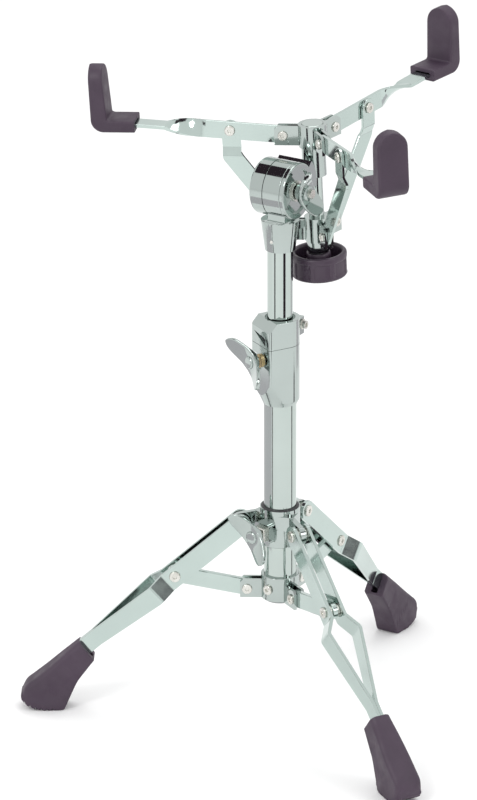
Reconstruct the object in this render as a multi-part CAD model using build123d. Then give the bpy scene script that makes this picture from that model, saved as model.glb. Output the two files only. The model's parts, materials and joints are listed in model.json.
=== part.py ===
from build123d import *
from math import atan2, cos, degrees, hypot, radians, sin
import os

# Snare drum stand: a folding double-braced tripod, a telescoping column, a
# tilter and a three-arm basket that a nut closes round the drum's shell.
# Millimetres, +Z up, floor at Z = 0, the column's axis at X = Y = 0.

# ---- driving dimensions -------------------------------------------------
RUNNING_GAP = 0.06
SIDE_GAP = 0.3

# tubes
BASE_TUBE_R = 14.3
BASE_TUBE_WALL = 1.6
BASE_TUBE_Z = (108.3, 335.0)
UPPER_TUBE_R = 11.1
UPPER_TUBE_WALL = 1.2
UPPER_TUBE_Z = (175.0, 460.8)
BUSH_LENGTH = 55.0

# tripod, in the upright plane of one leg: radius from the column, height
LEG_AZIMUTHS = {"left": 179.0, "front": 299.0, "right": 59.0}
LEG_PIVOT = (34.4, 178.4)
STRUT_OUTER = (92.2, 128.8)
STRUT_INNER = (28.9, 116.6)
LEG_SLOPE = 41.0
STRAP_THICK = 3.0
STRAP_WIDTH = 18.0
STRAP_FOOT_WIDTH = 15.0
STRAP_OFFSET = 6.5
FLARE_OFFSET = 15.4
FLARE = (85.0, 99.0)
JOIN_AT = 170.0
STRAP_END = 204.0
BAR_THICK = 5.0
BAR_HEIGHT = 15.0
EAR_THICK = 5.0
FORK_THICK = 2.5
FOOT_HALF_WIDTHS = (9.2, 12.6)

# tripod collars
LEG_COLLAR_R = 17.6
LEG_COLLAR_BORE_R = 15.8
LEG_COLLAR_Z = (160.0, 191.5)
LEG_COLLAR_MOUTH_Z = 194.5
LOWER_COLLAR_R = 17.0
LOWER_COLLAR_Z = (108.3, 131.0)
SCREW_AZIMUTH = 232.0
LEG_WING_AZIMUTH = 228.0
LEG_WING_Z = 175.0

# height clamp and memory lock: a round barrel with a square-cornered block
CLAMP_AZIMUTH = 209.0
CLAMP_R = 17.0
CLAMP_REACH = 19.6
CLAMP_SIDES = (-16.0, 17.0)
CLAMP_Z = (291.6, 346.5)
CLAMP_TAPER_Z = 318.0
LOCK_Z = (346.8, 370.0)
LOCK_SHOULDER_Z = 361.0
LOCK_BOLT_Z = 359.0
LOCK_BOLT_R = 19.0
LUG_TURN = 211.0
LUG_HALF = 11.0
CLAMP_BOLT_Z = 333.0

# tilter: the hinge line is level and points to TILTER_AZIMUTH
TILTER_AZIMUTH = -32.0
TILTER_Z = 487.0
TILTER_R = 24.6
MIDDLE = (-3.0, 14.0)
CHEEK = (-16.7, -3.3)
FLANGE = (14.3, 18.3)
DISH_R = 19.5
DISH_FLOOR = 16.3
BOLT_R = 4.0
TILT = 2.8
POST_LEAN = -1.5
SOCKET_Z = (432.0, 463.8)

# basket, in the frame of its own post: radius from the post, height above the
# arm pivots
POST_ALONG = 10.2
POST_BESIDE = 38.3
POST_ABOVE = 37.4
POST_R = 6.5
ARM_AZIMUTHS = {"left": 170.5, "front": 290.5, "right": 50.5}
ARM_PIVOT = (25.4, 0.0)
BRACE_OUTER = (71.8, 3.2)
BRACE_DISTANCE = hypot(BRACE_OUTER[0] - ARM_PIVOT[0], BRACE_OUTER[1] - ARM_PIVOT[1])
ARM_RISE = degrees(atan2(BRACE_OUTER[1] - ARM_PIVOT[1], BRACE_OUTER[0] - ARM_PIVOT[0]))
BRACE_ELBOW = (71.0, -20.0)
BRACE_INNER = (22.0, -86.0)
BRACE_THICK = 2.5
BRACE_HALF_WIDTH = 8.0
ARM_THICK = 3.0
ARM_WIDTH = 15.5
TWIST = (93.0, 128.0)
ARM_END = 183.0
CUP_INNER = 153.0
PAD_FACE = 176.0
PAD_TOP = 62.0
CUP_HALF = 13.8
KNOB_R = 24.6
KNOB_Z = (-128.0, -106.0)
THREAD_PITCH = 2.0


# ---- helpers ------------------------------------------------------------
def plate(outline, y0, y1):
    """An outline drawn in X and Z, as a plate from y0 to y1."""
    return extrude(Plane.XZ.offset(-y1) * outline, amount=y1 - y0)


def upright(radius, z0, z1):
    """A round bar along Z."""
    return Pos(0, 0, z0) * Cylinder(radius, z1 - z0, align=(Align.CENTER, Align.CENTER, Align.MIN))


def ring(outer, inner, z0, z1):
    """A tube along Z."""
    return upright(outer, z0, z1) - upright(inner, z0 - 1, z1 + 1)


def along_x(radius, x0, x1):
    """A round bar along X."""
    bar = Cylinder(radius, x1 - x0, align=(Align.CENTER, Align.CENTER, Align.MIN))
    return Pos(x0, 0, 0) * Rot(0, 90, 0) * bar


def along_y(radius, y0, y1):
    """A round bar along Y."""
    bar = Cylinder(radius, y1 - y0, align=(Align.CENTER, Align.CENTER, Align.MIN))
    return Pos(0, y0, 0) * Rot(-90, 0, 0) * bar


def block(x0, x1, y0, y1, z0, z1):
    """A box between two corners."""
    size = Box(x1 - x0, y1 - y0, z1 - z0, align=(Align.MIN, Align.MIN, Align.MIN))
    return Pos(x0, y0, z0) * size


def polygon(*points):
    """A filled outline through the points."""
    return make_face(Polyline(*points, close=True))


def disc(x, z, radius):
    """A round spot in an outline."""
    return Pos(x, z) * Circle(radius)


def link(a, b, radius):
    """The outline of a flat bar with round ends about two points."""
    angle = atan2(b[1] - a[1], b[0] - a[0])
    nx = -sin(angle) * radius
    ny = cos(angle) * radius
    sides = polygon(
        (a[0] + nx, a[1] + ny), (b[0] + nx, b[1] + ny), (b[0] - nx, b[1] - ny), (a[0] - nx, a[1] - ny)
    )
    return sides + disc(a[0], a[1], radius) + disc(b[0], b[1], radius)


def rounded_end(shape, axis, which, radius):
    """Round the rim at one end of a turned piece."""
    return fillet(shape.edges().group_by(axis)[which], radius)


def rivet_head(radius, height):
    """A pan head with a dimple, its flat side at Y = 0, standing towards +Y."""
    head = rounded_end(along_y(radius, 0, height), Axis.Y, -1, height * 0.6)
    return head - along_y(radius * 0.36, height * 0.4, height + 1)


def rivet(y0, y1, shank, head=4.6, height=1.7):
    """A rivet along Y whose heads bear on faces at y0 and y1."""
    pin = along_y(shank, y0, y1)
    far = Pos(0, y1, 0) * rivet_head(head, height)
    near = Pos(0, y0, 0) * Rot(0, 0, 180) * rivet_head(head, height)
    return pin + far + near


def at(point, shape):
    """A shape moved to a point of the radius-height plane."""
    return Pos(point[0], 0, point[1]) * shape


def both_sides(make):
    """The same shape made for the two sides of a plane, -1 and 1."""
    return [make(-1), make(1)]


def wing(half, root, tip, sweep, thick, hub_r, hub_length):
    """Two swept blades on a round hub; the screw's axis is X, the hub starts at 0."""
    hub = rounded_end(along_x(hub_r, 0, hub_length), Axis.X, -1, 1.5)
    start = hub_length * 0.15
    plan = polygon(
        (start + thick * 1.9, 0), (start + sweep + thick * 0.8, half), (start + sweep, half), (start, hub_r * 0.8),
        (start, -hub_r * 0.8), (start + sweep, -half), (start + sweep + thick * 0.8, -half),
    )
    waist = half * 0.5
    front = polygon(
        (0, root * 0.9), (waist, root), (half - 3, tip), (half, tip - 3), (half, 3 - tip), (half - 3, -tip),
        (waist, -root), (0, -root * 0.9), (-waist, -root), (3 - half, -tip), (-half, 3 - tip), (-half, tip - 3),
        (3 - half, tip), (-waist, root),
    )
    blades = extrude(plan, amount=root + 1, both=True) & extrude(Plane.YZ * front, amount=60)
    return hub + blades


# ---- tripod -------------------------------------------------------------
def base_tube():
    z0, z1 = BASE_TUBE_Z
    return ring(BASE_TUBE_R, BASE_TUBE_R - BASE_TUBE_WALL, z0, z1)


def tube_end_cap():
    """A plastic plug with a thin flange under the tube's foot."""
    z0 = BASE_TUBE_Z[0]
    flange = upright(BASE_TUBE_R, z0 - 1.5, z0)
    return flange + upright(BASE_TUBE_R - BASE_TUBE_WALL, z0, z0 + 10)


def lower_collar():
    """The band at the foot of the tube, with a fork for each strut."""
    z0, z1 = LOWER_COLLAR_Z
    r, z = STRUT_INNER
    body = upright(LOWER_COLLAR_R, z0, z1)
    body = fillet(body.edges().filter_by(GeomType.CIRCLE), 0.8)
    inside = BAR_THICK / 2 + SIDE_GAP
    outline = polygon((15.6, z - 8), (15.6, z + 9), (r + 3.5, z + 9), (r + 6.2, z + 6), (r + 6.2, z - 8))
    for azimuth in LEG_AZIMUTHS.values():
        for side in (-1, 1):
            y0, y1 = sorted((side * inside, side * (inside + FORK_THICK)))
            body += Rot(0, 0, azimuth) * plate(outline, y0, y1)
    body -= upright(BASE_TUBE_R, z0 - 20, z1 + 20)
    for azimuth in LEG_AZIMUTHS.values():
        body -= Rot(0, 0, azimuth) * at(STRUT_INNER, along_y(2.5, -12, 12))
    hole = at((0, 119.5), along_x(2.5, BASE_TUBE_R - 1, 30))
    return body - Rot(0, 0, SCREW_AZIMUTH) * hole


def lower_collar_screw():
    """A round-head screw that holds the band on the tube."""
    head = rounded_end(along_x(4.6, LOWER_COLLAR_R, LOWER_COLLAR_R + 2.4), Axis.X, -1, 1.4)
    screw = head + along_x(2.5, BASE_TUBE_R, LOWER_COLLAR_R)
    screw -= along_x(1.6, LOWER_COLLAR_R + 0.8, LOWER_COLLAR_R + 4)
    return Rot(0, 0, SCREW_AZIMUTH) * at((0, 119.5), screw)


def strut_rivets():
    """The rivets through the three forks."""
    outside = BAR_THICK / 2 + SIDE_GAP + FORK_THICK
    pin = at(STRUT_INNER, rivet(-outside, outside, 2.5))
    return [Rot(0, 0, azimuth) * pin for azimuth in LEG_AZIMUTHS.values()]


def strut():
    """A flat bar with round ends from the lower collar to the leg."""
    half = BAR_THICK / 2
    body = plate(link(STRUT_INNER, STRUT_OUTER, BAR_HEIGHT / 2), -half, half)
    body = chamfer(body.edges().group_by(Axis.Y)[0] + body.edges().group_by(Axis.Y)[-1], 0.5)
    body -= at(STRUT_INNER, along_y(2.5 + RUNNING_GAP, -12, 12))
    return body - at(STRUT_OUTER, along_y(2.5, -12, 12))


def strut_spacers():
    """The two washers that fill the room between the bar's end and the straps."""
    inside = BAR_THICK / 2
    outside = STRAP_OFFSET - STRAP_THICK / 2 - SIDE_GAP
    washer = along_y(6.0, inside, outside) - along_y(2.5, 0, 12)
    return [at(STRUT_OUTER, Rot(0, 0, side) * washer) for side in (0, 180)]


def leg_frame():
    """X down the leg from its pivot, Z square to it in the leg's upright plane."""
    return Pos(LEG_PIVOT[0], 0, LEG_PIVOT[1]) * Rot(0, LEG_SLOPE, 0)


def strut_distance():
    return hypot(STRUT_OUTER[0] - LEG_PIVOT[0], STRUT_OUTER[1] - LEG_PIVOT[1])


def leg_strap(side):
    """One of a leg's two straps: parallel at the top, flared, then drawn together."""
    closed = STRAP_THICK / 2 + 0.05
    route = [
        (-12, STRAP_OFFSET), (FLARE[0], STRAP_OFFSET), (FLARE[1], FLARE_OFFSET), (JOIN_AT, closed),
        (STRAP_END, closed),
    ]
    path = FilletPolyline(*[(x, side * y) for x, y in route], radius=5)
    strip = extrude(trace(path, line_width=STRAP_THICK), amount=STRAP_WIDTH, both=True)
    top = STRAP_WIDTH / 2
    foot_half = STRAP_FOOT_WIDTH / 2
    outline = disc(0, 0, top) + polygon(
        (0, -top), (0, top), (FLARE[1], top), (JOIN_AT, foot_half), (STRAP_END, foot_half),
        (STRAP_END, -foot_half), (JOIN_AT, -foot_half), (FLARE[1], -top),
    )
    strap = strip & plate(outline, -30, 30)
    strut_angle = degrees(atan2(LEG_PIVOT[1] - STRUT_OUTER[1], STRUT_OUTER[0] - LEG_PIVOT[0]))
    strap -= along_y(3.0, -12, 12)
    strap -= Rot(0, strut_angle - LEG_SLOPE, 0) * Pos(strut_distance(), 0, 0) * along_y(2.5, -12, 12)
    return leg_frame() * strap


def leg_rivets():
    """The pivot rivet, and the strut rivet as a short stub in each strap."""
    outer = STRAP_OFFSET + STRAP_THICK / 2
    inner = STRAP_OFFSET - STRAP_THICK / 2
    stub = along_y(2.5, inner, outer) + Pos(0, outer, 0) * rivet_head(5.0, 1.7)
    solids = [at(LEG_PIVOT, rivet(-outer, outer, 3.0, head=5.2))]
    return solids + [at(STRUT_OUTER, Rot(0, 0, side) * stub) for side in (0, 180)]


def foot():
    """A rubber boot: a tapered sleeve round the straps with a broad curved sole."""
    side = polygon(
        (178.0, 64.5), (206.0, 39.0), (225.0, 24.0), (230.0, 15.0), (227.5, 7.0), (218.0, 1.5), (209.0, 0.0),
        (193.0, 0.0), (190.0, 2.0), (179.0, 28.0), (164.0, 47.0),
    )
    mouth, sole = FOOT_HALF_WIDTHS
    plan = polygon(
        (150, -mouth), (170, -mouth), (205, -sole), (235, -sole), (235, sole), (205, sole), (170, mouth), (150, mouth)
    )
    body = plate(side, -20, 20) & extrude(plan, amount=100)
    slot_half = STRAP_THICK + 0.05
    foot_half = STRAP_FOOT_WIDTH / 2
    slot = leg_frame() * block(150, STRAP_END, -slot_half, slot_half, -foot_half, foot_half)
    return body - slot


def leg_collar():
    """The sliding collar: a sleeve, three ears for the legs and a boss for the wing screw."""
    z0, z1 = LEG_COLLAR_Z
    body = rounded_end(upright(LEG_COLLAR_R, z0, LEG_COLLAR_MOUTH_Z), Axis.Z, 0, 1.0)
    r, z = LEG_PIVOT
    half = EAR_THICK / 2
    root = polygon((15.9, z0 + 2), (15.9, z1 - 1.5), (20, z1 - 1.5), (20, z0 + 2))
    ear = plate(make_hull((root + disc(r, z, 8.6)).edges()), -half, half)
    corner = Pos(19.5, 0) * Circle(2.6)
    corners = [Rot(0, 0, azimuth) * corner for azimuth in LEG_AZIMUTHS.values()]
    web = make_hull((Circle(LEG_COLLAR_R) + corners).edges())
    body += Pos(0, 0, z1 - 14.5) * extrude(web, amount=13)
    for azimuth in LEG_AZIMUTHS.values():
        body += Rot(0, 0, azimuth) * ear
    boss = block(15, 24, -8.5, 8.5, LEG_WING_Z - 9, LEG_WING_Z + 9)
    body += Rot(0, 0, LEG_WING_AZIMUTH) * fillet(boss.edges().filter_by(Axis.X), 3.0)
    body -= upright(LEG_COLLAR_BORE_R, z0 - 1, z1 + 9)
    body -= upright(LEG_COLLAR_R - 0.8, LEG_COLLAR_MOUTH_Z - 2, z1 + 9)
    for azimuth in LEG_AZIMUTHS.values():
        body -= Rot(0, 0, azimuth) * at(LEG_PIVOT, along_y(3.0 + RUNNING_GAP, -12, 12))
    return body - leg_wing_frame() * along_x(3.0 + RUNNING_GAP, 5, 40)


def leg_collar_bush():
    """A nylon lining with a lip let into the collar's mouth."""
    z0 = LEG_COLLAR_Z[0]
    lip_z = LEG_COLLAR_MOUTH_Z - 2
    lip = rounded_end(upright(LEG_COLLAR_R - 0.8, lip_z, LEG_COLLAR_MOUTH_Z + 0.6), Axis.Z, -1, 0.5)
    body = lip + upright(LEG_COLLAR_BORE_R, z0, lip_z)
    body -= upright(BASE_TUBE_R + RUNNING_GAP, z0 - 5, lip_z + 9)
    return body - leg_wing_frame() * along_x(3.0 + RUNNING_GAP, 5, 40)


def leg_spacers():
    """The six washers between the ears and the straps."""
    inside = EAR_THICK / 2
    outside = STRAP_OFFSET - STRAP_THICK / 2 - SIDE_GAP
    washer = along_y(6.5, inside, outside) - along_y(3.0 + RUNNING_GAP, 0, 12)
    turns = [(azimuth, side) for azimuth in LEG_AZIMUTHS.values() for side in (0, 180)]
    return [Rot(0, 0, azimuth) * at(LEG_PIVOT, Rot(0, 0, side) * washer) for azimuth, side in turns]


def leg_wing_frame():
    return Rot(0, 0, LEG_WING_AZIMUTH) * Pos(0, 0, LEG_WING_Z)


def leg_collar_nut():
    """A square nut on the boss's face."""
    nut = block(24, 28, -6, 6, -6, 6)
    return leg_wing_frame() * (chamfer(nut.edges().group_by(Axis.X)[-1], 0.8) - along_x(3.0 + RUNNING_GAP, 20, 30))


def leg_wing():
    blades = wing(26, 10, 5.5, 9, 3.0, 6.5, 9) - along_x(3.0, -1, 6)
    return leg_wing_frame() * Pos(30, 0, 0) * Rot(-44, 0, 0) * blades


def leg_wing_screw():
    return leg_wing_frame() * along_x(3.0, BASE_TUBE_R + SIDE_GAP, 36)


# ---- height clamp, memory lock and column -------------------------------
def barrel_outline():
    """The clamp's plan: round the tube, with a square-cornered block towards +X."""
    low, high = CLAMP_SIDES
    corners = polygon((0, low), (CLAMP_REACH, low), (CLAMP_REACH, high), (0, high))
    return Circle(CLAMP_R) + corners


def barrel(z0, z1):
    body = Pos(0, 0, z0) * extrude(barrel_outline(), amount=z1 - z0)
    corners = body.edges().filter_by(Axis.Z).filter_by(lambda e: (e @ 0).X > CLAMP_REACH - 1)
    return fillet(corners, 2.0)


def clamp_frame():
    return Rot(0, 0, CLAMP_AZIMUTH)


def height_clamp():
    """The clamp: its block tapers into the tube below and is notched for the insert."""
    z0, z1 = CLAMP_Z
    body = barrel(z0, z1)
    taper = loft([Pos(0, 0, z0) * Circle(15.2), Pos(0, 0, CLAMP_TAPER_Z) * Circle(27.0)])
    body = body & (taper + upright(27.0, CLAMP_TAPER_Z, z1))
    notch = block(CLAMP_REACH - 5, 30, -30, 2, CLAMP_BOLT_Z - 8, CLAMP_BOLT_Z + 5)
    body -= notch
    body -= at((0, CLAMP_BOLT_Z), along_x(6.0, BASE_TUBE_R, 30))
    body -= upright(BASE_TUBE_R, z0 - 1, BASE_TUBE_Z[1])
    return clamp_frame() * (body - upright(UPPER_TUBE_R + RUNNING_GAP, z0, z1 + 1))


def clamp_insert():
    """A brass bush with the thread for the wing screw."""
    insert = along_x(6.0, BASE_TUBE_R + 0.1, CLAMP_REACH + 1.5)
    insert -= upright(BASE_TUBE_R, 0, 20) + Pos(0, 0, -20) * upright(BASE_TUBE_R, 0, 20)
    return clamp_frame() * at((0, CLAMP_BOLT_Z), insert - along_x(3.0 + RUNNING_GAP, 5, 40))


def height_wing():
    blades = wing(30, 10, 5.5, 9, 3.0, 6.5, 9) - along_x(3.0, -1, 6)
    return clamp_frame() * Pos(23, 0, CLAMP_BOLT_Z) * Rot(-26, 0, 0) * blades


def height_wing_screw():
    return clamp_frame() * at((0, CLAMP_BOLT_Z), along_x(3.0, BASE_TUBE_R + SIDE_GAP, 29))


def column_bush():
    """A nylon sleeve that centres the upper tube in the base tube."""
    top = BASE_TUBE_Z[1]
    return ring(BASE_TUBE_R - BASE_TUBE_WALL, UPPER_TUBE_R + RUNNING_GAP, top - BUSH_LENGTH, top)


def memory_lock():
    """The stop collar on the column, split at the back and closed by a socket screw."""
    z0, z1 = LOCK_Z
    body = barrel(z0, z1)
    side = polygon((-30, z0), (CLAMP_REACH + 1, z0), (CLAMP_REACH + 1, LOCK_SHOULDER_Z), (12.5, z1), (-30, z1))
    body = body & plate(side, -40, 40)
    lug = block(10, 24, -LUG_HALF, LUG_HALF, z0 + 3, z1 - 5)
    body += Rot(0, 0, LUG_TURN) * fillet(lug.edges().filter_by(Axis.Z), 2.0)
    recess = polygon((-11, z0 + 11), (9, z0 + 1.5), (9, z0 + 9))
    body -= extrude(Plane.YZ.offset(CLAMP_REACH - 2.0) * recess, amount=5)
    body -= Rot(0, 0, LUG_TURN) * block(0, 40, -0.8, 0.8, z0 - 1, z1 + 1)
    body -= upright(13.2, z1 - 2.5, z1 + 1)
    body -= upright(UPPER_TUBE_R + RUNNING_GAP, z0 - 1, z1 + 1)
    body -= Rot(0, 0, LUG_TURN) * at((LOCK_BOLT_R, LOCK_BOLT_Z), along_y(2.6, -20, 20))
    return clamp_frame() * body


def memory_lock_bolt():
    """A socket screw with a flange, through the lock's two lugs."""
    flange = along_y(4.6, -LUG_HALF - 1.2, -LUG_HALF)
    cap = along_y(3.6, -LUG_HALF - 4.4, -LUG_HALF - 1.0) - along_y(1.8, -LUG_HALF - 5, -LUG_HALF - 2.4)
    bolt = along_y(2.6, -LUG_HALF - 0.1, LUG_HALF + 2) + flange + cap
    return clamp_frame() * Rot(0, 0, LUG_TURN) * at((LOCK_BOLT_R, LOCK_BOLT_Z), bolt)


def upper_tube():
    wall = ring(UPPER_TUBE_R, UPPER_TUBE_R - UPPER_TUBE_WALL, *UPPER_TUBE_Z)
    return wall - Rot(0, 0, TILTER_AZIMUTH) * Pos(0, 0, SOCKET_Z[0] + 10) * along_y(1.6, -30, 30)


# ---- tilter -------------------------------------------------------------
def tilter_frame():
    """X along the hinge line, Y level behind it, Z up, at the hinge's middle."""
    return Pos(0, 0, TILTER_Z) * Rot(0, 0, TILTER_AZIMUTH)


def tilted_frame():
    """The same frame, leaned by the tilt that the stand is stored with."""
    return tilter_frame() * Rot(TILT, 0, 0)


def post_frame():
    """Z along the post, origin level with the arm pivots."""
    return Pos(POST_ALONG, POST_BESIDE, POST_ABOVE) * Rot(0, POST_LEAN, 0)


def tilter_base():
    """The casting on the upper tube: a tapered socket below, a flat disc above."""
    z0, z1 = SOCKET_Z[0] - TILTER_Z, SOCKET_Z[1] - TILTER_Z
    x0, x1 = MIDDLE
    shoulder = z1 - 5
    socket = loft([Pos(0, 0, z0) * Circle(13.1), Pos(0, 0, shoulder) * Circle(16.6)])
    neck = loft([Pos(0, 0, shoulder) * Circle(16.6), Pos((x0 + x1) / 2, 0, z1 - 2) * Rectangle(x1 - x0, 32)])
    post = block(x0, x1, -15, 15, z1 - 3, -8)
    wheel = along_x(TILTER_R, x0, x1)
    body = socket + neck + post + fillet(wheel.edges().filter_by(GeomType.CIRCLE), 0.6)
    body -= along_x(BOLT_R + RUNNING_GAP, x0 - 1, x1 + 1)
    body -= upright(UPPER_TUBE_R, z0 - 1, UPPER_TUBE_Z[1] - TILTER_Z)
    return tilter_frame() * (body - Pos(0, 0, z0 + 10) * along_y(1.6, -30, 30))


def tilter_base_pin():
    """The roll pin across the socket and the tube."""
    z0 = SOCKET_Z[0] + 10
    return Pos(0, 0, z0) * Rot(0, 0, TILTER_AZIMUTH) * along_y(1.6, -14.2, 14.2)


def sector(r, x0, x1, a0, a1):
    """A wedge of a round bar along X, between two angles from +Y towards +Z."""
    reach = 90
    wedge = polygon(
        (0, 0), (reach * cos(radians(a0)), reach * sin(radians(a0))),
        (reach * cos(radians((a0 + a1) / 2)), reach * sin(radians((a0 + a1) / 2))),
        (reach * cos(radians(a1)), reach * sin(radians(a1))),
    )
    return along_x(r, x0, x1) & extrude(Plane.YZ.offset(x0) * wedge, amount=x1 - x0)


def tilter_yoke():
    """The moving casting: a cheek, a flange, a bridge over the disc and the post's sleeve."""
    cheek = along_x(TILTER_R, *CHEEK)
    cheek = rounded_end(cheek, Axis.X, 0, 2.5)
    flange = rounded_end(along_x(TILTER_R, *FLANGE), Axis.X, -1, 1.2)
    flange -= along_x(DISH_R, DISH_FLOOR, FLANGE[1] + 1)
    inner = TILTER_R + 0.9
    outer = TILTER_R + 5.4
    bridge = sector(outer, CHEEK[0] + 2.5, FLANGE[1], -10, 42)
    bridge -= along_x(inner, CHEEK[1], FLANGE[0])
    bridge -= along_x(TILTER_R - 3, CHEEK[0] - 1, FLANGE[1] + 1)
    body = cheek + flange + bridge + post_frame() * upright(10.4, -36, -10)
    body -= post_frame() * upright(POST_R, -50, 5)
    body -= along_x(inner, CHEEK[1], FLANGE[0])
    return tilted_frame() * (body - along_x(BOLT_R, CHEEK[0] - 5, FLANGE[1] + 5))


def tilter_bolt():
    """A round-head bolt through the cheek, the disc and the flange."""
    head = rounded_end(along_x(9.0, CHEEK[0] - 3.2, CHEEK[0]), Axis.X, 0, 2.2)
    return tilter_frame() * (head + along_x(BOLT_R, CHEEK[0], 33))


def tilter_washer():
    washer = along_x(9.0, DISH_FLOOR, DISH_FLOOR + 1.6) - along_x(BOLT_R, 9, 23)
    return tilter_frame() * washer


def tilter_wing_nut():
    nut = wing(22, 9, 6, 9, 3.2, 7.5, 12) - along_x(BOLT_R + RUNNING_GAP, -2, 40)
    return tilter_frame() * Pos(18.3, 0, 0) * Rot(-60, 0, 0) * nut


# ---- basket -------------------------------------------------------------
def basket_frame():
    """The post's frame, turned so that X is the stand's X when level."""
    return tilted_frame() * post_frame() * Rot(0, 0, -TILTER_AZIMUTH)


def arm_frame(azimuth):
    return basket_frame() * Rot(0, 0, azimuth)


def basket_post():
    """The rod that carries the basket, headed above and threaded below."""
    thread_top = KNOB_Z[1] + 8
    root = upright(POST_R - 0.7, KNOB_Z[0] - 4, thread_top)
    turns = int((thread_top - KNOB_Z[0] + 3) / THREAD_PITCH)
    for turn in range(turns):
        z = KNOB_Z[0] - 3 + THREAD_PITCH * turn
        root += upright(POST_R, z, z + 1.0)
    head = rounded_end(upright(9.4, 7.8, 10.4), Axis.Z, -1, 1.0)
    return basket_frame() * (upright(POST_R, thread_top, 9) + root + head)


def basket_hub():
    """The upper spider: a round boss with three forks."""
    body = upright(12.5, -9.8, 10.0)
    r, z = ARM_PIVOT
    inside = ARM_THICK / 2 + SIDE_GAP
    outline = polygon((9, -8.5), (9, 8.5), (r + 4.5, 8.5), (r + 7.5, 5.5), (r + 7.5, -8.5))
    for azimuth in ARM_AZIMUTHS.values():
        for side in (-1, 1):
            y0, y1 = sorted((side * inside, side * (inside + FORK_THICK)))
            body += Rot(0, 0, azimuth) * plate(outline, y0, y1)
    body -= upright(POST_R, -20, 20)
    body -= upright(9.4, 7.8, 20)
    for azimuth in ARM_AZIMUTHS.values():
        body -= Rot(0, 0, azimuth) * at(ARM_PIVOT, along_y(2.5, -12, 12))
        body -= Rot(0, 0, azimuth) * block(13.2, r + 12, -inside, inside, -15, 15)
    return basket_frame() * body


def hub_rivets():
    outside = ARM_THICK / 2 + SIDE_GAP + FORK_THICK
    pin = at(ARM_PIVOT, rivet(-outside, outside, 2.5, head=4.4))
    return [arm_frame(azimuth) * pin for azimuth in ARM_AZIMUTHS.values()]


def arm():
    """A flat strap on edge, twisted flat towards its end, where the cup grips it."""
    pivot = ARM_PIVOT[0]
    top = ARM_WIDTH / 2
    half = ARM_THICK / 2
    start, stop = TWIST[0] - pivot, TWIST[1] - pivot
    on_edge = disc(0, 0, top) + polygon((0, -top), (0, top), (start, top), (start, -top))
    flat = plate(on_edge, -half, half)
    flat -= along_y(2.5 + RUNNING_GAP, -9, 9)
    flat -= Pos(BRACE_DISTANCE, 0, 0) * along_y(2.0, -9, 9)
    steps = 6
    sections = []
    for step in range(steps + 1):
        x = start + (stop - start) * step / steps
        section = Plane((x, 0, 0), x_dir=(0, 1, 0), z_dir=(1, 0, 0)) * Rot(0, 0, 90 * step / steps)
        sections.append(section * Rectangle(ARM_THICK, ARM_WIDTH))
    twisted = loft(sections, ruled=True)
    tongue = block(stop, ARM_END - pivot, -top, top, -half, half)
    return at(ARM_PIVOT, Rot(0, -ARM_RISE, 0) * (flat + twisted + tongue))


def arm_rivet():
    """The rivet from the arm through the brace's oversize hole."""
    far = ARM_THICK / 2
    near = -(ARM_THICK / 2 + 2 * SIDE_GAP + BRACE_THICK)
    return at(BRACE_OUTER, rivet(near, far, 2.0, head=4.7))


def cup():
    """A rubber cup: a foot under the drum's hoop and a pad with a round top outside it."""
    side = polygon(
        (CUP_INNER, 3.9), (CUP_INNER, 14.6), (PAD_FACE, 14.6), (PAD_FACE + 3.0, PAD_TOP),
        (PAD_FACE + 14.0, PAD_TOP), (PAD_FACE + 13.5, 10.0), (PAD_FACE + 8.0, 3.9),
    )
    front = polygon((-CUP_HALF, 0), (CUP_HALF, 0), (CUP_HALF, PAD_TOP - CUP_HALF), (-CUP_HALF, PAD_TOP - CUP_HALF))
    front += disc(0, PAD_TOP - CUP_HALF, CUP_HALF)
    body = plate(side, -CUP_HALF, CUP_HALF) & extrude(Plane.YZ.offset(100) * front, amount=120)
    top = ARM_WIDTH / 2
    half = ARM_THICK / 2
    slot = block(100, ARM_END - ARM_PIVOT[0], -top, top, -half, half)
    return body - at(ARM_PIVOT, Rot(0, -ARM_RISE, 0) * slot)


def brace():
    """A strap from the arm down to the lower spider, cranked in both planes."""
    outline = link(BRACE_OUTER, BRACE_ELBOW, BRACE_HALF_WIDTH) + link(BRACE_ELBOW, BRACE_INNER, BRACE_HALF_WIDTH)
    side = -(ARM_THICK / 2 + SIDE_GAP + BRACE_THICK / 2)
    route = FilletPolyline((side, 30), (side, -13), (0, -20), (0, -110), radius=3)
    ribbon = extrude(Plane.YZ.offset(-10) * trace(route, line_width=BRACE_THICK), amount=120)
    body = plate(outline, -20, 20) & ribbon
    body -= at(BRACE_OUTER, along_y(3.5, -12, 12))
    return body - at(BRACE_INNER, along_y(2.5 + RUNNING_GAP, -12, 12))


def lower_spider():
    """The sliding spider that the knob pushes up the post."""
    body = upright(11.0, -96.0, -74.0) + upright(9.4, KNOB_Z[1] + 0.4, -95.0)
    r, z = BRACE_INNER
    inside = BRACE_THICK / 2 + SIDE_GAP
    outline = polygon((8, z - 9), (8, z + 9), (r + 3, z + 9), (r + 6, z + 6), (r + 6, z - 9))
    for azimuth in ARM_AZIMUTHS.values():
        for side in (-1, 1):
            y0, y1 = sorted((side * inside, side * (inside + FORK_THICK)))
            body += Rot(0, 0, azimuth) * plate(outline, y0, y1)
    body -= upright(POST_R + RUNNING_GAP, -120, -60)
    for azimuth in ARM_AZIMUTHS.values():
        body -= Rot(0, 0, azimuth) * at(BRACE_INNER, along_y(2.5, -12, 12))
        body -= Rot(0, 0, azimuth) * block(13.0, 40, -inside, inside, -105, -70)
    return basket_frame() * body


def spider_rivets():
    outside = BRACE_THICK / 2 + SIDE_GAP + FORK_THICK
    pin = at(BRACE_INNER, rivet(-outside, outside, 2.5, head=4.0))
    return [arm_frame(azimuth) * pin for azimuth in ARM_AZIMUTHS.values()]


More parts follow.
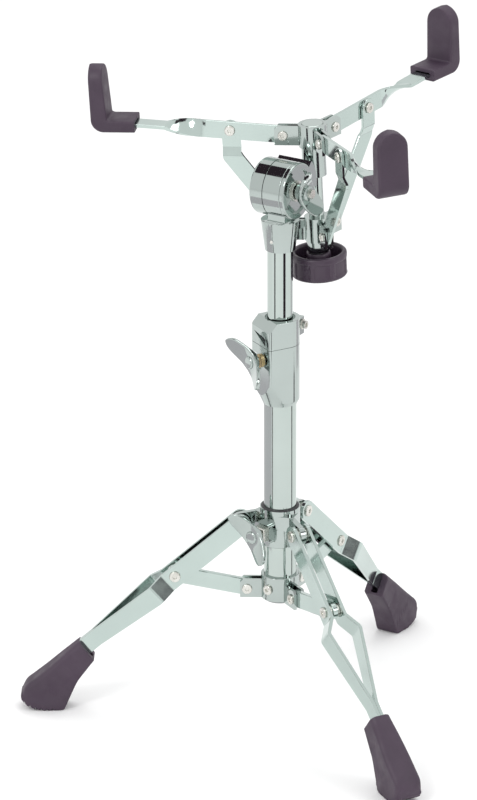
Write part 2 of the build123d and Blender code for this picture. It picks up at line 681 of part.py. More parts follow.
def knob():
    """The basket nut: a deep cup with a threaded boss in its floor."""
    z0, z1 = KNOB_Z
    body = upright(KNOB_R, z0, z1)
    body = fillet(body.edges().filter_by(GeomType.CIRCLE), 1.5)
    body -= upright(19.75, z0 + 5, z1 + 1)
    body += upright(11.0, z0, z1)
    panel = block(KNOB_R - 0.9, KNOB_R + 2, -6.5, 6.5, z0 + 2.5, z1 - 5)
    for step in range(8):
        body -= Rot(0, 0, 45 * step) * panel
    return basket_frame() * (body - upright(POST_R + RUNNING_GAP, z0 - 1, z1 + 2))


# ---- build and write ----------------------------------------------------
def build():
    nodes = {
        "base_tube": base_tube(),
        "tube_end_cap": tube_end_cap(),
        "lower_collar": lower_collar(),
        "lower_collar_screw": lower_collar_screw(),
        "strut_rivets": strut_rivets(),
        "height_clamp": height_clamp(),
        "clamp_insert": clamp_insert(),
        "column_bush": column_bush(),
        "height_wing": height_wing(),
        "height_wing_screw": height_wing_screw(),
        "leg_collar": leg_collar(),
        "leg_collar_bush": leg_collar_bush(),
        "leg_collar_nut": leg_collar_nut(),
        "leg_spacers": leg_spacers(),
        "leg_wing": leg_wing(),
        "leg_wing_screw": leg_wing_screw(),
        "memory_lock": memory_lock(),
        "memory_lock_bolt": memory_lock_bolt(),
        "upper_tube": upper_tube(),
        "tilter_base": tilter_base(),
        "tilter_base_pin": tilter_base_pin(),
        "tilter_yoke": tilter_yoke(),
        "tilter_bolt": tilter_bolt(),
        "tilter_washer": tilter_washer(),
        "tilter_wing_nut": tilter_wing_nut(),
        "basket_post": basket_post(),
        "basket_hub": basket_hub(),
        "hub_rivets": hub_rivets(),
        "lower_spider": lower_spider(),
        "spider_rivets": spider_rivets(),
        "knob": knob(),
    }
    leg_pieces = {
        "leg_{}_straps": both_sides(leg_strap),
        "leg_{}_rivets": leg_rivets(),
        "foot_{}": [foot()],
        "strut_{}": [strut()],
        "strut_{}_spacers": strut_spacers(),
    }
    arm_pieces = {"arm_{}": arm(), "arm_{}_rivet": arm_rivet(), "cup_{}": cup(), "brace_{}": brace()}
    for side, azimuth in LEG_AZIMUTHS.items():
        for label, solids in leg_pieces.items():
            nodes[label.format(side)] = [Rot(0, 0, azimuth) * solid for solid in solids]
    for side, azimuth in ARM_AZIMUTHS.items():
        for label, shape in arm_pieces.items():
            nodes[label.format(side)] = arm_frame(azimuth) * shape
    return nodes


def write(nodes):
    os.makedirs("parts", exist_ok=True)
    for label, shape in nodes.items():
        solids = shape if isinstance(shape, list) else [shape]
        export_step(Compound(children=solids) if len(solids) > 1 else solids[0], f"parts/{label}.step")


write(build())
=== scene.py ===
import json
import math

import bmesh
import bpy
from mathutils import Matrix, Vector


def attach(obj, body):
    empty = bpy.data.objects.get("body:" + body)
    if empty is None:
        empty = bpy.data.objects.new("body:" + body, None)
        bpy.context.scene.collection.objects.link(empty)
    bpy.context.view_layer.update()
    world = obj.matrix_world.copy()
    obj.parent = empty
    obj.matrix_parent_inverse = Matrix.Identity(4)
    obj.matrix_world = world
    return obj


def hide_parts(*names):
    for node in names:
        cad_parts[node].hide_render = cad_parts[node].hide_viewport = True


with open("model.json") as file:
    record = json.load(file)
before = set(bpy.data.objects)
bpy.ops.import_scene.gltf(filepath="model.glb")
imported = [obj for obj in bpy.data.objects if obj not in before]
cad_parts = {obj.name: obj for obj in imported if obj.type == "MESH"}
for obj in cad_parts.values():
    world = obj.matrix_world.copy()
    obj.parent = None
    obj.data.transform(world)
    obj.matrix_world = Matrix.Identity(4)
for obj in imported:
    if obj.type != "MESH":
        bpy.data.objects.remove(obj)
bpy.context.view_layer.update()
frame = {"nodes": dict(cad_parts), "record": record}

MM = 0.001
SIDES = ("left", "front", "right")
UP = Vector((0, 0, 1))


# ---- camera, floor and light --------------------------------------------
MIDDLE = (0, 0, 0.300)         # what the camera and the lights look at
CAMERA_DISTANCE = 4.2605
CAMERA_ELEVATION = 21.24
TOWARDS_CAMERA = -90.0         # its direction from the column, in degrees from X
FLOOR_HALF = 9
FLOOR_SPLIT = 0.85             # the lower tube mirrors the floor up to here, the upper tube the rest
FLOOR_END = 3.2                # as far as any tube mirrors the floor
STRIP_HEIGHT = 0.0004
STREAK = (0.042, 0.028, 0.038) # the dark of the streaks in the chrome
SHADE = (0.78, 0.73, 0.77)     # the soft grey beside them


def look_from(position, target):
    """The turn that points a camera or a light from one point at another."""
    return (Vector(target) - Vector(position)).to_track_quat("-Z", "Y").to_euler()


def add_camera():
    """A long lens, far from the column and a little above it."""
    elevation = math.radians(CAMERA_ELEVATION)
    target = Vector(MIDDLE)
    data = bpy.data.cameras.new("camera")
    data.sensor_width = 36.0
    data.lens = 221.4
    data.shift_x = -0.052
    data.shift_y = -0.0097
    data.clip_end = 50.0
    camera = bpy.data.objects.new("camera", data)
    away = Vector((0, -math.cos(elevation), math.sin(elevation)))
    camera.location = target + away * CAMERA_DISTANCE
    camera.rotation_euler = look_from(camera.location, target)
    bpy.context.scene.collection.objects.link(camera)
    bpy.context.scene.camera = camera


def add_world():
    """White light from all round, which the chrome mirrors."""
    world = bpy.data.worlds.new("studio")
    bpy.context.scene.world = world
    world.use_nodes = True
    background = world.node_tree.nodes["Background"]
    background.inputs["Color"].default_value = (1.0, 1.0, 1.0, 1)
    background.inputs["Strength"].default_value = 1.0


def add_floor():
    """A plain pale floor."""
    corners = [(-1, -1), (1, -1), (1, 1), (-1, 1)]
    mesh = bpy.data.meshes.new("floor")
    mesh.from_pydata([(x * FLOOR_HALF, y * FLOOR_HALF, 0) for x, y in corners], [], [(0, 1, 2, 3)])
    floor = bpy.data.objects.new("floor", mesh)
    bpy.context.scene.collection.objects.link(floor)
    paint = bpy.data.materials.new("floor")
    paint.use_nodes = True
    shader = paint.node_tree.nodes["Principled BSDF"]
    shader.inputs["Base Color"].default_value = (0.93, 0.93, 0.93, 1)
    shader.inputs["Roughness"].default_value = 0.9
    mesh.materials.append(paint)


def area_light(name, position, size, power):
    """A soft light aimed at the middle of the stand."""
    data = bpy.data.lights.new(name, "AREA")
    data.shape = "RECTANGLE"
    data.size, data.size_y = size
    data.energy = power
    light = bpy.data.objects.new(name, data)
    light.location = position
    light.rotation_euler = look_from(position, MIDDLE)
    bpy.context.scene.collection.objects.link(light)


def seen_in_mirrors(name, corners, color):
    """A flat shape that only reflections see, so that the chrome has something dark to mirror."""
    mesh = bpy.data.meshes.new(name)
    mesh.from_pydata(corners, [], [tuple(range(len(corners)))])
    obj = bpy.data.objects.new(name, mesh)
    obj.visible_camera = False
    obj.visible_shadow = False
    obj.visible_diffuse = False
    made = bpy.data.materials.new(name)
    made.use_nodes = True
    nodes = made.node_tree.nodes
    nodes.clear()
    glow = nodes.new("ShaderNodeEmission")
    glow.inputs["Color"].default_value = (*color, 1)
    out = nodes.new("ShaderNodeOutputMaterial")
    made.node_tree.links.new(glow.outputs[0], out.inputs[0])
    mesh.materials.append(made)
    bpy.context.scene.collection.objects.link(obj)


def floor_strip(name, bearing, spread, near, far, color=STREAK):
    """A sector of floor round the column: a streak down each upright mirror.

    The bearing is counted from the camera's direction, to the right as the camera sees it.
    """
    start = math.radians(TOWARDS_CAMERA + bearing - spread / 2)
    angles = [start + math.radians(spread) * k / 12 for k in range(13)]
    edge = [(far * math.cos(a), far * math.sin(a), STRIP_HEIGHT) for a in angles]
    edge += [(near * math.cos(a), near * math.sin(a), STRIP_HEIGHT) for a in reversed(angles)]
    seen_in_mirrors(name, edge, color)


def upright_panel(name, bearing, distance, width, low, high):
    """A panel standing round the column, for the mirrors that face outwards and up."""
    angle = math.radians(TOWARDS_CAMERA + bearing)
    middle = Vector((math.cos(angle), math.sin(angle), 0)) * distance
    across = Vector((-math.sin(angle), math.cos(angle), 0)) * (width / 2)
    corners = [middle - across, middle + across, middle + across, middle - across]
    heights = (low, low, high, high)
    seen_in_mirrors(name, [(c.x, c.y, z) for c, z in zip(corners, heights)], STREAK)


def add_lights():
    """Three soft studio lights."""
    area_light("key", (-1.5, -1.9, 2.4), (0.9, 0.9), 22)
    area_light("fill", (2.2, -1.2, 1.7), (0.8, 1.2), 9)
    area_light("top", (0.2, 0.8, 2.8), (1.2, 1.2), 12)


def add_reflections():
    """The dark shapes that stand for the room which the chrome mirrors."""
    floor_strip("upper_left", -45, 15, FLOOR_SPLIT, FLOOR_END)
    floor_strip("upper_right", 39, 22, 0.90, FLOOR_END)
    floor_strip("upper_edge", 123, 26, FLOOR_SPLIT, FLOOR_END, SHADE)
    floor_strip("lower_shade", -105, 90, 0.38, FLOOR_SPLIT, SHADE)
    floor_strip("lower_left", -54, 5, 0.45, FLOOR_SPLIT)
    floor_strip("lower_right", 90, 8, 0.25, FLOOR_SPLIT)
    floor_strip("streak_back", 178, 8, 0.02, FLOOR_END)
    canopy = [(-1.9, -0.1, 2.4), (-1.2, -0.3, 2.4), (-0.3, 1.0, 2.4), (-0.9, 1.4, 2.4)]
    seen_in_mirrors("canopy", canopy, STREAK)
    upright_panel("flare_left", 47.6, 1.45, 0.26, 0.35, 0.85)
    upright_panel("panel_right", 66, 1.4, 0.22, 0.20, 2.0)
    upright_panel("panel_back_left", -150, 1.6, 0.30, 0.30, 1.9)
    upright_panel("panel_back_right", 152, 1.6, 0.26, 0.25, 1.7)


# ---- materials ----------------------------------------------------------
class Shader:
    """A Principled material and the few nodes that its detail is made of."""

    def __init__(self, name, metallic):
        self.made = bpy.data.materials.new(name)
        self.made.use_nodes = True
        self.tree = self.made.node_tree
        self.main = self.tree.nodes["Principled BSDF"]
        self.main.inputs["Metallic"].default_value = metallic
        self.coords = self.tree.nodes.new("ShaderNodeTexCoord").outputs["Object"]

    def link(self, a, b):
        self.tree.links.new(a, b)

    def noise(self, scale, detail, stretch=None):
        """Clouds from 0 to 1, drawn out along an axis if they are given a stretch."""
        node = self.tree.nodes.new("ShaderNodeTexNoise")
        node.inputs["Scale"].default_value = scale
        node.inputs["Detail"].default_value = detail
        source = self.coords
        if stretch:
            mapping = self.tree.nodes.new("ShaderNodeMapping")
            mapping.inputs["Scale"].default_value = stretch
            self.link(self.coords, mapping.inputs["Vector"])
            source = mapping.outputs["Vector"]
        self.link(source, node.inputs["Vector"])
        return node.outputs["Fac"]

    def color(self, clouds, stops):
        """Colour the surface by its clouds, through pairs of place and colour."""
        node = self.tree.nodes.new("ShaderNodeValToRGB")
        while len(node.color_ramp.elements) < len(stops):
            node.color_ramp.elements.new(0.5)
        for element, (place, color) in zip(node.color_ramp.elements, stops):
            element.position = place
            element.color = (*color, 1)
        self.link(clouds, node.inputs["Fac"])
        self.link(node.outputs["Color"], self.main.inputs["Base Color"])

    def roughness(self, clouds, low, high):
        """Spread the roughness from low to high over the middle of the clouds' range."""
        node = self.tree.nodes.new("ShaderNodeMapRange")
        node.inputs["From Min"].default_value = 0.35
        node.inputs["From Max"].default_value = 0.65
        node.inputs["To Min"].default_value = low
        node.inputs["To Max"].default_value = high
        self.link(clouds, node.inputs["Value"])
        self.link(node.outputs["Result"], self.main.inputs["Roughness"])

    def bump(self, clouds, strength, height):
        """Raise the surface by its clouds, up to a height in metres."""
        node = self.tree.nodes.new("ShaderNodeBump")
        node.inputs["Strength"].default_value = strength
        node.inputs["Distance"].default_value = height
        self.link(clouds, node.inputs["Height"])
        self.link(node.outputs["Normal"], self.main.inputs["Normal"])


def chrome(name, tint, rough, ripple):
    """Chrome plate: a pale green-grey mirror, faintly clouded, with the ripple of the metal under it."""
    shader = Shader(name, metallic=1.0)
    deep = tuple(c * 0.93 for c in tint)
    shader.color(shader.noise(14, 4), [(0.35, deep), (0.65, tint)])
    shader.roughness(shader.noise(60, 5), rough * 0.7, rough * 1.5)
    shader.bump(shader.noise(120, 2), ripple, 0.0004)
    return shader.made


def zinc(name):
    """Zinc plate: a warmer, duller and more mottled grey than the chrome."""
    shader = Shader(name, metallic=1.0)
    shader.color(shader.noise(90, 4), [(0.3, (0.58, 0.57, 0.52)), (0.7, (0.76, 0.76, 0.72))])
    shader.roughness(shader.noise(400, 3), 0.16, 0.34)
    shader.bump(shader.noise(900, 2), 0.15, 0.0003)
    return shader.made


def brass(name):
    """Turned brass, tarnished in patches, with faint tool marks."""
    shader = Shader(name, metallic=1.0)
    shader.color(shader.noise(150, 4), [(0.3, (0.50, 0.35, 0.17)), (0.7, (0.80, 0.62, 0.36))])
    shader.roughness(shader.noise(500, 3), 0.2, 0.4)
    shader.bump(shader.noise(1200, 1, (1, 1, 8)), 0.2, 0.0003)
    return shader.made


def moulded(name, dark, light, rough, grain):
    """Moulded rubber or nylon: fine grain, cloudy colour and a dusty sheen on worn places."""
    shader = Shader(name, metallic=0.0)
    shader.color(shader.noise(30, 6), [(0.3, dark), (0.7, light)])
    shader.roughness(shader.noise(80, 5), rough - 0.08, rough + 0.10)
    shader.bump(shader.noise(grain, 3), 0.25, 0.0003)
    return shader.made


RUBBER = ((0.040, 0.024, 0.042), (0.054, 0.033, 0.056))
NYLON = ((0.014, 0.012, 0.015), (0.030, 0.026, 0.032))
KNOB_NYLON = ((0.036, 0.021, 0.038), (0.048, 0.029, 0.050))
FINISH = {
    "chrome_tube": chrome("chrome_tube", (0.495, 0.560, 0.532), 0.05, 0.0),
    "chrome_strap": chrome("chrome_strap", (0.505, 0.590, 0.560), 0.10, 0.03),
    "chrome_casting": chrome("chrome_casting", (0.450, 0.505, 0.485), 0.08, 0.02),
    "zinc_hardware": zinc("zinc_hardware"),
    "brass": brass("brass"),
    "rubber": moulded("rubber", *RUBBER, rough=0.55, grain=1400),
    "black_plastic": moulded("black_plastic", *NYLON, rough=0.42, grain=1800),
    "knob_plastic": moulded("knob_plastic", *KNOB_NYLON, rough=0.34, grain=1800),
}


# ---- the CAD nodes ------------------------------------------------------
RECORD = frame["record"]
EDGE_WIDTH = {"chrome_casting": 0.0006, "chrome_strap": 0.0004, "zinc_hardware": 0.0002}
ROUNDED_IN_CAD = ("tilter_yoke",)


def soften(obj, width):
    """Break a node's sharp edges, as plating and tumbling do, and keep its flat faces flat."""
    weld = obj.modifiers.new("weld", "WELD")
    weld.merge_threshold = 1e-6
    flatten = obj.modifiers.new("flatten", "DECIMATE")
    flatten.decimate_type = "DISSOLVE"
    flatten.angle_limit = math.radians(0.4)
    bevel = obj.modifiers.new("edges", "BEVEL")
    bevel.width = width
    bevel.segments = 2
    bevel.limit_method = "ANGLE"
    bevel.angle_limit = math.radians(38)
    normals = obj.modifiers.new("normals", "WEIGHTED_NORMAL")
    normals.weight = 100
    normals.keep_sharp = True


def dress_frame():
    """Give every CAD node its slot's finish, and the castings, straps and zinc hardware broken edges, but for
    those already rounded in the CAD.
    """
    slots = {row["node"]: row["material_slot"] for row in RECORD["subparts"]}
    for name, obj in frame["nodes"].items():
        slot = slots[name]
        obj.data.materials.clear()
        obj.data.materials.append(FINISH[slot])
        if slot in EDGE_WIDTH and name not in ROUNDED_IN_CAD:
            soften(obj, EDGE_WIDTH[slot])


# ---- places taken from the frame ----------------------------------------
JOINTS = {row["name"]: row for row in RECORD["behaviour"]["joints"]}
ARM_PIVOT = 25.4               # from the post's axis to an arm's pivot


def axes_at(origin, x, y):
    """The matrix that puts millimetres at an origin in metres, along two of its axes."""
    x, y = Vector(x).normalized(), Vector(y).normalized()
    turn = Matrix((x, y, x.cross(y))).transposed()
    return Matrix.Translation(origin) @ turn.to_4x4() @ Matrix.Diagonal((MM, MM, MM, 1))


def leg_place(side):
    """X out along the floor from the column, Z up."""
    across = Vector(JOINTS[f"leg_{side}_fold"]["axis"])
    return axes_at((0, 0, 0), across.cross(UP), across)


def arm_place(side):
    """X out along the arm from the post, Z along the post, from the arm pivot's level."""
    joint = JOINTS[f"arm_{side}_lift"]
    across = -Vector(joint["axis"])
    out = across.cross(Vector(JOINTS["spider_slide"]["axis"]))
    return axes_at(Vector(joint["pos_m"]) - out * ARM_PIVOT * MM, out, across)


def joint_place(name, turn):
    """X along the joint's axis from its point, turned about it from level."""
    joint = JOINTS[name]
    axis = Vector(joint["axis"])
    level = UP.cross(axis).normalized()
    place = axes_at(joint["pos_m"], axis, level)
    return place @ Matrix.Rotation(math.radians(turn), 4, "X")


# ---- mesh helpers -------------------------------------------------------
def smoothly(t):
    """An even step from 0 to 1 with soft ends."""
    t = max(0.0, min(1.0, t))
    return t * t * (3 - 2 * t)


def curve(points, count):
    """Evenly spaced points on a smooth curve through the given ones."""
    points = [Vector(p) for p in points]
    ends = [points[0] * 2 - points[1]] + points + [points[-1] * 2 - points[-2]]
    dense = []
    for a, b, c, d in zip(ends, ends[1:], ends[2:], ends[3:]):
        for step in range(24):
            t = step / 24
            dense.append(0.5 * (2 * b + (c - a) * t + (2 * a - 5 * b + 4 * c - d) * t * t
                                + (3 * b - a - 3 * c + d) * t ** 3))
    dense.append(points[-1])
    reach = [0.0]
    for a, b in zip(dense, dense[1:]):
        reach.append(reach[-1] + (b - a).length)
    out = []
    at = 0
    for step in range(count):
        goal = reach[-1] * step / (count - 1)
        while at < len(dense) - 2 and reach[at + 1] < goal:
            at += 1
        part = (goal - reach[at]) / max(reach[at + 1] - reach[at], 1e-9)
        out.append(dense[at].lerp(dense[at + 1], min(1.0, part)))
    return out


def rounded_section(top, bottom, half, top_r, bottom_r, arc=5, flat=5):
    """A closed loop round a piece, from its top and bottom points and half its width in Y.

    Both points may be pairs of X and Z, or vectors with Y at 0.
    """
    top, bottom = Vector((top[0], 0, top[-1])), Vector((bottom[0], 0, bottom[-1]))
    up = (top - bottom).normalized()
    tall = (top - bottom).length / 2
    centre = (top + bottom) / 2
    corners = []
    rounds = ((1, 1, top_r, 90), (1, -1, bottom_r, 0), (-1, -1, bottom_r, -90), (-1, 1, top_r, 180))
    for side, level, radius, start in rounds:
        radius = min(radius, tall * 0.98, half * 0.98)
        middle = (side * (half - radius), level * (tall - radius))
        angles = [math.radians(start - 90 * k / arc) for k in range(arc + 1)]
        corners.append([(middle[0] + radius * math.cos(a), middle[1] + radius * math.sin(a)) for a in angles])
    loop = []
    for corner, following in zip(corners, corners[1:] + corners[:1]):
        a, b = corner[-1], following[0]
        loop += corner
        loop += [(a[0] + (b[0] - a[0]) * k / flat, a[1] + (b[1] - a[1]) * k / flat) for k in range(1, flat)]
    return [centre + Vector((0, y, 0)) + up * z for y, z in loop]


def skin(loops, closed_ends=True):
    """Vertices and faces of a tube through loops of equal length."""
    count = len(loops[0])
    verts = [v for loop in loops for v in loop]
    faces = []
    for row in range(len(loops) - 1):
        low, high = row * count, (row + 1) * count
        for k in range(count):
            n = (k + 1) % count
            faces.append((low + k, low + n, high + n, high + k))
    if closed_ends:
        last = (len(loops) - 1) * count
        faces.append(tuple(reversed(range(count))))
        faces.append(tuple(range(last, last + count)))
    return verts, faces


def socket(loop, tall, half, up, deep, lip):
    """Loops that turn a loop inwards over a rounded lip, into a slot for the strap that it holds.

    The slot is tall along up and half as wide as half says, to each side, and goes deep.
    """
    centre = sum(loop, Vector()) / len(loop)
    inward = deep.normalized()
    rim = [v + (centre - v).normalized() * lip * 0.45 - inward * lip * 0.35 for v in loop]
    edge = [v + (centre - v).normalized() * lip - inward * lip * 0.35 for v in loop]
    hole = []
    for v in loop:
        off = v - centre
        high, wide = off.dot(up), off.y
        scale = 1 / max(abs(high) / tall, abs(wide) / half, 1e-6)
        hole.append(centre + up * high * scale + Vector((0, wide * scale, 0)))
    bottom = [v + deep for v in hole]
    return [bottom, hole, edge, rim]


def mesh_object(name, verts, faces, place, smooth_angle=35.0):
    """An object from points in millimetres, smooth but for the edges sharper than the angle."""
    mesh = bpy.data.meshes.new(name)
    mesh.from_pydata([place @ Vector(v) for v in verts], [], faces)
    shell = bmesh.new()
    shell.from_mesh(mesh)
    bmesh.ops.remove_doubles(shell, verts=shell.verts, dist=1e-6)
    bmesh.ops.recalc_face_normals(shell, faces=shell.faces)
    shell.to_mesh(mesh)
    shell.free()
    mesh.shade_smooth()
    mesh.set_sharp_from_angle(angle=math.radians(smooth_angle))
    obj = bpy.data.objects.new(name, mesh)
    bpy.context.scene.collection.objects.link(obj)
    return obj


def finish_piece(obj, body, slot, node):
    """Dress one finished piece, and let it ride on its body in place of its CAD node."""
    obj.data.materials.append(FINISH[slot])
    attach(obj, body)
    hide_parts(node)


# ---- rubber boots -------------------------------------------------------
BOOT_TOP = [
    (177.8, 0, 64.4), (191.5, 0, 51.95), (205.9, 0, 38.8), (217, 0, 29.6), (224.9, 0, 23.0), (229.6, 0, 14.2),
]
BOOT_BACK = [(164.4, 0, 47.4), (171.5, 0, 38.0), (179.0, 0, 27.6), (184.5, 0, 16.0), (189.4, 0, 4.6)]
BOOT_SOLE = [
    (191.2, 0, 0.9), (195, 0, 0.12), (202, 0, 0.10), (209, 0, 0.20), (218, 0, 2.0), (224.5, 0, 5.0),
    (228.9, 0, 9.2),
]
BOOT_HALF = 9.1                # half the width at the mouth
BOOT_FLARE = 3.4               # how much the half widens towards the sole
TOE_TUCK = 2.4                 # and how much it narrows again at the toe
STRAP_WAY = (0.755, 0, -0.656) # the way the leg's straps run into the mouth
MOUTH_DEEP = 9
TREAD_START = 199.0
TREAD_END = 226.5
TREAD_DEEP = 1.5
TREAD_PITCH = 5.0
TREAD_HALF_WIDTH = 0.24        # in pitches
PANEL_CORNER = (177, 0, 46)    # where the sunk panel's lengths are counted from, and along which way
PANEL_WAY = (0.66, 0, -0.75)
PANEL_LENGTHS = (8.0, 36.0)
PANEL_SHARES = (0.20, 0.74)    # of the boot's height, from the sole
PANEL_DEEP = 0.55
PANEL_EDGE = 1.1
SHARE_TO_MM = 26               # about the boot's height, to compare shares with lengths


def tread(point):
    """How far a point of the sole is cut back into one of the cross grooves."""
    if not TREAD_START < point.x < TREAD_END:
        return 0.0
    phase = (point.x - TREAD_START) / TREAD_PITCH % 1.0
    return TREAD_DEEP * (1 - smoothly(abs(phase - 0.5) / TREAD_HALF_WIDTH))


def sunk_panel(v, high, low, half):
    """The shallow panel moulded in a boot's flat sides."""
    if abs(v.y) < half - 0.25:
        return v
    across = (v - low).length / max((high - low).length, 1e-6)
    along = (Vector((v.x, 0, v.z)) - Vector(PANEL_CORNER)).dot(Vector(PANEL_WAY))
    inside = min(
        along - PANEL_LENGTHS[0], PANEL_LENGTHS[1] - along,
        (across - PANEL_SHARES[0]) * SHARE_TO_MM, (PANEL_SHARES[1] - across) * SHARE_TO_MM,
    )
    deep = PANEL_DEEP * smoothly(inside / PANEL_EDGE)
    return Vector((v.x, v.y - math.copysign(deep, v.y), v.z))


def make_boot(side):
    """A boot: a sleeve that widens to a rocker sole, with cross grooves and a sunk side panel."""
    bottom = curve(BOOT_BACK, 26) + curve(BOOT_SOLE, 90)
    top = curve(BOOT_TOP, len(bottom))
    loops = []
    for index, (high, low) in enumerate(zip(top, bottom)):
        along = index / (len(bottom) - 1)
        reach = smoothly((high.x - 166) / 46)
        toe = smoothly((high.x - 221) / 9)
        half = BOOT_HALF + BOOT_FLARE * reach - TOE_TUCK * toe * toe
        low = low + Vector((0, 0, tread(low)))
        top_r = 6.4 - 1.2 * reach
        bottom_r = 2.2 - 0.9 * smoothly(along * 4)
        loop = rounded_section(high, low, half, top_r, bottom_r, arc=6, flat=10)
        loops.append([sunk_panel(v, high, low, half) for v in loop])
    up = (top[0] - bottom[0]).normalized()
    into = Vector(STRAP_WAY) * MOUTH_DEEP
    mouth = socket(loops[0], tall=7.7, half=3.25, up=up, deep=into, lip=1.6)
    verts, faces = skin(mouth + loops)
    boot = mesh_object(f"boot_{side}", verts, faces, leg_place(side))
    finish_piece(boot, f"leg_{side}", "rubber", f"foot_{side}")


# ---- rubber cups --------------------------------------------------------
CUP_HALF = 13.6
CUP_END = 153.1                # the mouth, where the arm's tongue goes in
CUP_TOP = 61.9
CUP_FLOOR = (4.0, 14.5)        # the foot's underside and top
CORNER = 173.0                 # where the foot's top turns up into the pad
CORNER_TURN = (3.2, 1.6)       # how far that turn reaches, out and up
HEEL = 11.0                    # the radius of the round under the pad
PAD_FACE = 176.0
PAD_BACK = 191.0
PAD_START = 16.4
PAD_INSET = 0.3                # how far the rubber stays inside those two faces
FACE_LEAN = 2.7                # how far each face leans out over the pad's height
BACK_LEAN = 0.25


def cup_stations():
    """Pairs of inner and outer points along a cup, and how many of them come before its pad."""
    under, over = CUP_FLOOR
    heel_x = PAD_BACK - PAD_INSET - HEEL
    stations = []
    for step in range(15):
        part = step / 14
        x = CUP_END + (CORNER - CUP_END) * part
        stations.append(((x, over), (x + (heel_x - CORNER) * part, under)))
    for step in range(1, 13):
        angle = math.radians(90 * step / 12)
        rise = 1 - math.cos(angle)
        inner = (CORNER + CORNER_TURN[0] * math.sin(angle), over + CORNER_TURN[1] * rise)
        stations.append((inner, (heel_x + HEEL * math.sin(angle), under + HEEL * rise)))
    before_pad = len(stations)
    for step in range(1, 47):
        z = PAD_START + (CUP_TOP - 0.02 - PAD_START) * math.sin(math.radians(90 * step / 46))
        lean = (z - PAD_START) / (CUP_TOP - PAD_START)
        inner = (PAD_FACE + PAD_INSET + FACE_LEAN * lean, z)
        stations.append((inner, (PAD_BACK - PAD_INSET + BACK_LEAN * lean, z)))
    return stations, before_pad


def make_cup(side):
    """A cup: a foot that grips the arm's tongue, turning up into a pad with a round top."""
    stations, before_pad = cup_stations()
    round_from = CUP_TOP - CUP_HALF
    loops = []
    for index, (inner, outer) in enumerate(stations):
        z = inner[1] if index >= before_pad else 0
        half = CUP_HALF
        if z > round_from:
            half = math.sqrt(max(CUP_HALF ** 2 - (z - round_from) ** 2, 0.3))
        loops.append(rounded_section(inner, outer, half, 1.7, 2.4, arc=4, flat=4))
    mouth = socket(loops[0], tall=1.75, half=8.0, up=UP, deep=Vector((10, 0, 0.7)), lip=1.2)
    verts, faces = skin(mouth + loops)
    cup = mesh_object(f"cup_rubber_{side}", verts, faces, arm_place(side), 40)
    finish_piece(cup, f"arm_{side}", "rubber", f"cup_{side}")


# ---- wings --------------------------------------------------------------
SCREW_WING = {"root": 9.6, "tip": 6.2, "sweep": 9.5, "start": 4.5, "hub_r": 6.5, "hub_length": 9}
NUT_WING = {"root": 10.5, "tip": 8.4, "sweep": 8.0, "start": 7.0, "hub_r": 7.5, "hub_length": 12}
DOME = 2.4                     # how tall the round end of a hub is


def blade_loops(half, root, tip, sweep, start):
    """Sections from one blade's tip to the other's: narrower and swept away from the hub."""
    loops = []
    for step in range(61):
        part = step / 30 - 1
        out = abs(part)
        x = start + sweep * out ** 1.35
        thick = 3.0 + 1.3 * out ** 2 + 2.2 * (1 - smoothly(out * 2.6))
        wide = (tip + (root - tip) * (1 - out ** 1.8)) * math.sqrt(max(1 - out ** 9, 0.06))
        outer, inner = (x + thick / 2, half * part), (x - thick / 2, half * part)
        loops.append(rounded_section(outer, inner, wide, 1.1, 1.1, arc=4, flat=3))
    return loops


def hub_loops(radius, length):
    """Rings of a round hub: a small chamfer at the bolt's end and a dome at the other."""
    profile = [(0.2, radius - 0.9), (0.6, radius - 0.3), (1.3, radius), (length * 0.6, radius * 0.97)]
    for step in range(6):
        angle = math.radians(90 * step / 5)
        x = length - DOME + DOME * math.sin(angle)
        profile.append((x, radius * (0.62 + 0.30 * math.cos(angle))))
    angles = [math.radians(7.5 * k) for k in range(48)]
    return [[Vector((x, r * math.cos(a), r * math.sin(a))) for a in angles] for x, r in profile]


def make_wing(name, joint, node, turn, half, hub_r, hub_length, **blade):
    """A cast wing: two blades, thicker at their tips, on a domed hub."""
    verts, faces = skin(blade_loops(half, **blade))
    hub_verts, hub_faces = skin(hub_loops(hub_r, hub_length))
    shift = len(verts)
    faces += [tuple(shift + k for k in face) for face in hub_faces]
    wing = mesh_object(name, verts + hub_verts, faces, joint_place(joint, turn))
    finish_piece(wing, JOINTS[joint]["child"], "chrome_casting", node)


# ---- knob ---------------------------------------------------------------
KNOB_SIDE = 24.5               # the radius of its side
KNOB_STEPS = 192
KNOB_FLAT_PITCH = 45           # in degrees, so eight flats
KNOB_FLAT_SHARE = 0.80         # of the pitch
KNOB_FLAT_EDGE = 0.06
KNOB_FLAT_DEEP = 0.95


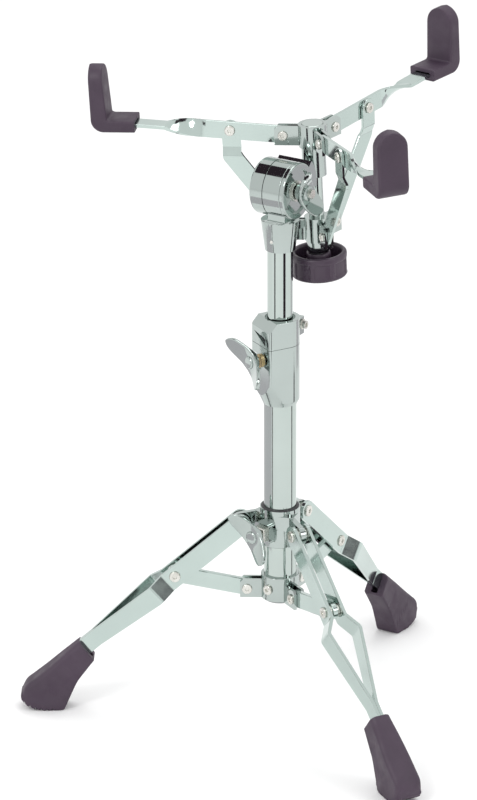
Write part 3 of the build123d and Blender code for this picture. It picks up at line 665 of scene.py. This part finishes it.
def knob_flat(angle):
    """How far the knob's side is cut back into one of the flats round it."""
    away = abs((math.degrees(angle) / KNOB_FLAT_PITCH) % 1 - 0.5) * 2
    chord = math.cos(math.radians(away * KNOB_FLAT_PITCH / 2))
    return KNOB_FLAT_DEEP * smoothly((KNOB_FLAT_SHARE - away) / KNOB_FLAT_EDGE) * chord


def make_knob():
    """A deep cup with a thick rounded rim and flats round its outside."""
    joint = JOINTS["knob_turn"]
    axis = Vector(joint["axis"])
    place = axes_at(joint["pos_m"], UP.cross(axis).cross(axis), UP.cross(axis))
    underside = [(6.6, -11.0), (10.8, -11.0), (19.0, -11.0), (22.4, -10.9), (23.6, -10.4), (24.3, -9.3)]
    side = [(KNOB_SIDE, z) for z in (-7.8, -4.0, 0.0, 3.6, 4.9)]
    rim = [(24.45, 5.6), (24.5, 6.5), (24.5, 8.6), (24.2, 9.9), (23.3, 10.8), (22.2, 11.0), (21.0, 10.8)]
    inside = [(20.2, 10.0), (19.8, 8.6), (19.6, 4.0), (19.3, -2.0), (18.4, -5.2), (16.6, -6.0), (13.0, -6.0)]
    boss = [(11.4, -5.6), (10.9, -4.6), (10.8, 6.0), (10.4, 9.6), (9.9, 10.2), (6.6, 10.2)]
    loops = []
    for radius, z in underside + side + rim + inside + boss:
        on_flats = (radius > 24.0 and -9.0 < z < 5.0)
        loop = []
        for k in range(KNOB_STEPS):
            angle = math.radians(k * 360 / KNOB_STEPS)
            r = radius - (knob_flat(angle) if on_flats else 0)
            loop.append(Vector((r * math.cos(angle), r * math.sin(angle), z)))
        loops.append(loop)
    verts, faces = skin(loops + [loops[0]], closed_ends=False)
    knob = mesh_object("knob_cup", verts, faces, place, 50)
    finish_piece(knob, "knob", "knob_plastic", "knob")


# ---- the scene ----------------------------------------------------------
add_camera()
add_world()
add_floor()
add_lights()
add_reflections()
dress_frame()
for side in SIDES:
    make_boot(side)
    make_cup(side)
make_knob()
make_wing("leg_wing_blades", "leg_wing_turn", "leg_wing", turn=46, half=26, **SCREW_WING)
make_wing("height_wing_blades", "height_wing_turn", "height_wing", turn=64, half=30, **SCREW_WING)
make_wing("tilter_wing_blades", "tilter_wing_turn", "tilter_wing_nut", turn=30, half=22, **NUT_WING)
bpy.context.scene.view_settings.view_transform = "Standard"
